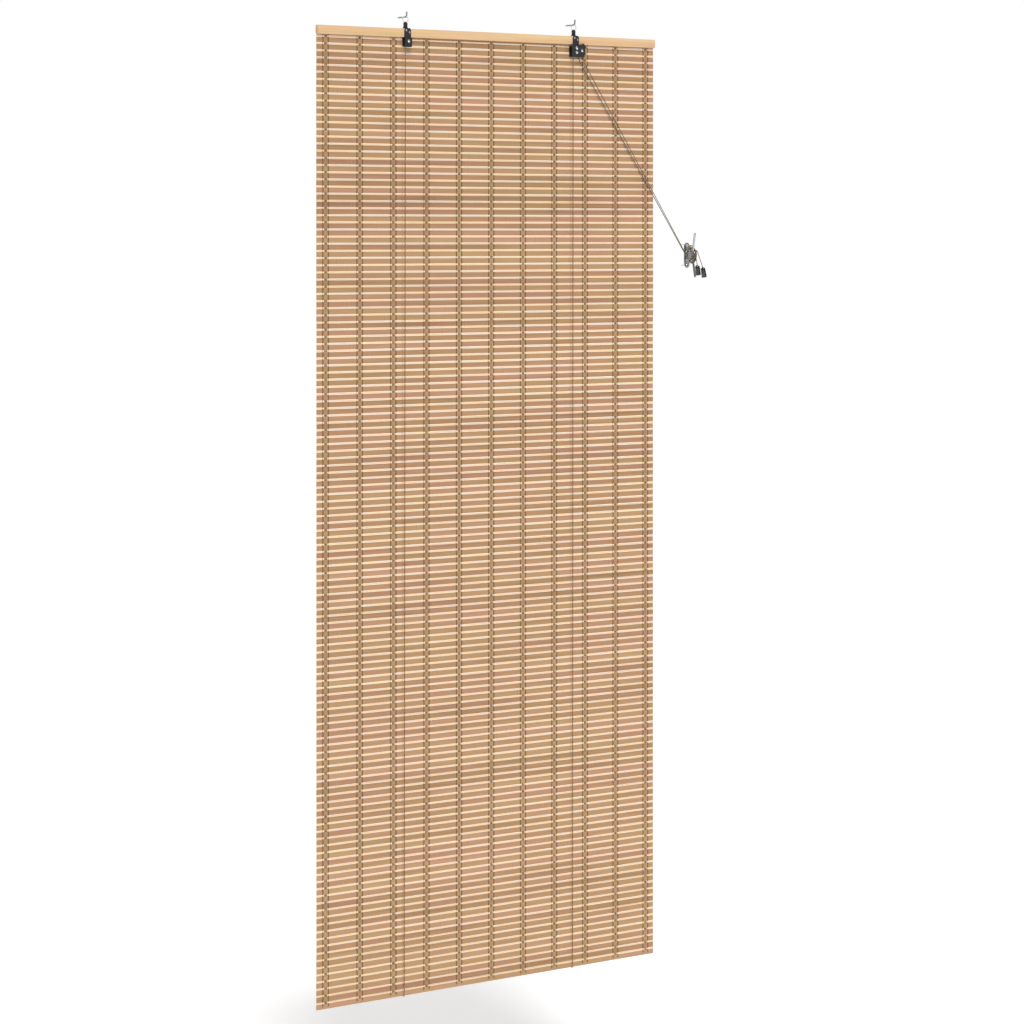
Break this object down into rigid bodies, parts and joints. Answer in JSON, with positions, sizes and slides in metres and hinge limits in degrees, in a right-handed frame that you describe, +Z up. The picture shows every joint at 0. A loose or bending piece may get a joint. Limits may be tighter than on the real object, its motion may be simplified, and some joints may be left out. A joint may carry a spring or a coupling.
{
  "type": "bamboo roll up blind",
  "caption": "Bamboo roll-up window blind: woven slat mat on a head rail, hung by rings on wall hooks, with pulley brackets, cord lock, pull cords with bell ends and a wall cleat.",
  "frame": {"origin": "on the wall plane, midway between the two wall hooks, at the height of their shafts' centre line", "axes": "+X to the right as seen from the room, +Y into the wall, +Z up"},
  "size_m": [1.1651, 0.0535, 2.2394],
  "materials": {
    "brown_bamboo": "natural bamboo, satin",
    "pale_bamboo": "peeled bamboo, satin",
    "rail_bamboo": "planed bamboo, satin",
    "thread": "twisted thread",
    "cord": "two-tone twisted cord",
    "black_steel": "black powder coat",
    "pulley_plastic": "moulded, matt",
    "zinc": "bright zinc plate",
    "chrome": "polished chrome plate",
    "bell_plastic": "glossy black"
  },
  "bodies": {
    "wall_fixings": {"left_wall_hook": "zinc", "right_wall_hook": "zinc", "cord_cleat": "chrome", "cleat_screws": "zinc", "cord_wrap": "cord", "left_pull_cord": "cord", "right_pull_cord": "cord", "left_cord_bell": "bell_plastic", "right_cord_bell": "bell_plastic"},
    "hanging_blind": {"head_rail": "rail_bamboo", "back_lath": "rail_bamboo", "rail_nails": "zinc", "clamped_slat": "brown_bamboo", "wide_slats": "brown_bamboo", "thin_sticks": "pale_bamboo", "warp_threads": "thread", "lower_warp_threads": "thread", "left_hanging_ring": "zinc", "right_hanging_ring": "zinc", "left_bracket": "black_steel", "left_housing_back": "black_steel", "left_pulley_axle": "zinc", "left_bracket_screws": "zinc", "right_bracket": "black_steel", "right_housing_back": "black_steel", "upper_pulley_axle": "zinc", "lower_pulley_axle": "zinc", "lock_cam_pin": "zinc", "right_bracket_screws": "zinc", "left_lift_cord": "cord", "right_lift_cord": "cord"},
    "left_wheel": {"left_pulley_wheel": "pulley_plastic"},
    "upper_wheel": {"upper_pulley_wheel": "pulley_plastic"},
    "lower_wheel": {"lower_pulley_wheel": "pulley_plastic"},
    "cord_lock_cam": {"lock_cam": "zinc"},
    "rolling_01": {"rolling_row_01": "brown_bamboo"},
    "rolling_02": {"rolling_row_02": "brown_bamboo"},
    "rolling_03": {"rolling_row_03": "brown_bamboo"},
    "rolling_04": {"rolling_row_04": "brown_bamboo"},
    "rolling_05": {"rolling_row_05": "brown_bamboo"},
    "rolling_06": {"rolling_row_06": "brown_bamboo"},
    "rolling_07": {"rolling_row_07": "brown_bamboo"},
    "rolling_08": {"rolling_row_08": "brown_bamboo"},
    "rolling_09": {"rolling_row_09": "brown_bamboo"},
    "rolling_10": {"rolling_row_10": "brown_bamboo"},
    "rolling_11": {"rolling_row_11": "brown_bamboo"},
    "rolling_12": {"rolling_row_12": "brown_bamboo"}
  },
  "joints": [
    {"name": "blind_swing", "type": "hinge", "parent": "wall_fixings", "child": "hanging_blind", "pos_m": [0, -0.012, 0.0023], "axis": [-1, 0, 0], "range_deg": [0, 15], "deforming": ["left_pull_cord", "right_pull_cord"]},
    {"name": "left_pulley_spin", "type": "hinge", "parent": "hanging_blind", "child": "left_wheel", "pos_m": [-0.25, -0.0192, -0.0545], "axis": [0, 1, 0], "continuous": true},
    {"name": "upper_pulley_spin", "type": "hinge", "parent": "hanging_blind", "child": "upper_wheel", "pos_m": [0.25, -0.0192, -0.0545], "axis": [0, 1, 0], "continuous": true},
    {"name": "lower_pulley_spin", "type": "hinge", "parent": "hanging_blind", "child": "lower_wheel", "pos_m": [0.25, -0.0192, -0.0642], "axis": [0, 1, 0], "continuous": true},
    {"name": "lock_cam_tilt", "type": "hinge", "parent": "hanging_blind", "child": "cord_lock_cam", "pos_m": [0.266, -0.0192, -0.0596], "axis": [0, -1, 0], "range_deg": [0, 30]},
    {"name": "row_turn_01", "type": "hinge", "parent": "hanging_blind", "child": "rolling_01", "pos_m": [0, -0.0132, -2.0326], "axis": [-1, 0, 0], "range_deg": [0, 21.76], "deforming": ["lower_warp_threads", "left_lift_cord", "right_lift_cord"]},
    {"name": "row_turn_02", "type": "hinge", "parent": "rolling_01", "child": "rolling_02", "pos_m": [0, -0.0132, -2.0486], "axis": [-1, 0, 0], "range_deg": [0, 44.27]},
    {"name": "row_turn_03", "type": "hinge", "parent": "rolling_02", "child": "rolling_03", "pos_m": [0, -0.0132, -2.0646], "axis": [-1, 0, 0], "range_deg": [0, 45.51]},
    {"name": "row_turn_04", "type": "hinge", "parent": "rolling_03", "child": "rolling_04", "pos_m": [0, -0.0132, -2.0806], "axis": [-1, 0, 0], "range_deg": [0, 46.85]},
    {"name": "row_turn_05", "type": "hinge", "parent": "rolling_04", "child": "rolling_05", "pos_m": [0, -0.0132, -2.0966], "axis": [-1, 0, 0], "range_deg": [0, 48.34]},
    {"name": "row_turn_06", "type": "hinge", "parent": "rolling_05", "child": "rolling_06", "pos_m": [0, -0.0132, -2.1126], "axis": [-1, 0, 0], "range_deg": [0, 49.97]},
    {"name": "row_turn_07", "type": "hinge", "parent": "rolling_06", "child": "rolling_07", "pos_m": [0, -0.0132, -2.1286], "axis": [-1, 0, 0], "range_deg": [0, 51.78]},
    {"name": "row_turn_08", "type": "hinge", "parent": "rolling_07", "child": "rolling_08", "pos_m": [0, -0.0132, -2.1446], "axis": [-1, 0, 0], "range_deg": [0, 53.82]},
    {"name": "row_turn_09", "type": "hinge", "parent": "rolling_08", "child": "rolling_09", "pos_m": [0, -0.0132, -2.1606], "axis": [-1, 0, 0], "range_deg": [0, 56.13]},
    {"name": "row_turn_10", "type": "hinge", "parent": "rolling_09", "child": "rolling_10", "pos_m": [0, -0.0132, -2.1766], "axis": [-1, 0, 0], "range_deg": [0, 58.77]},
    {"name": "mat_roll", "type": "hinge", "parent": "rolling_10", "child": "rolling_11", "pos_m": [0, -0.0132, -2.1926], "axis": [-1, 0, 0], "range_deg": [0, 61.83]},
    {"name": "row_turn_12", "type": "hinge", "parent": "rolling_11", "child": "rolling_12", "pos_m": [0, -0.0132, -2.2086], "axis": [-1, 0, 0], "range_deg": [0, 65.5]}
  ],
  "couplings": [
    {"joint": "row_turn_01", "follows": "mat_roll", "ratio": 0.35161},
    {"joint": "row_turn_02", "follows": "mat_roll", "ratio": 0.71564},
    {"joint": "row_turn_03", "follows": "mat_roll", "ratio": 0.73564},
    {"joint": "row_turn_04", "follows": "mat_roll", "ratio": 0.75746},
    {"joint": "row_turn_05", "follows": "mat_roll", "ratio": 0.7814},
    {"joint": "row_turn_06", "follows": "mat_roll", "ratio": 0.80782},
    {"joint": "row_turn_07", "follows": "mat_roll", "ratio": 0.8372},
    {"joint": "row_turn_08", "follows": "mat_roll", "ratio": 0.87015},
    {"joint": "row_turn_09", "follows": "mat_roll", "ratio": 0.90746},
    {"joint": "row_turn_10", "follows": "mat_roll", "ratio": 0.95024},
    {"joint": "row_turn_12", "follows": "mat_roll", "ratio": 1.059}
  ]
}
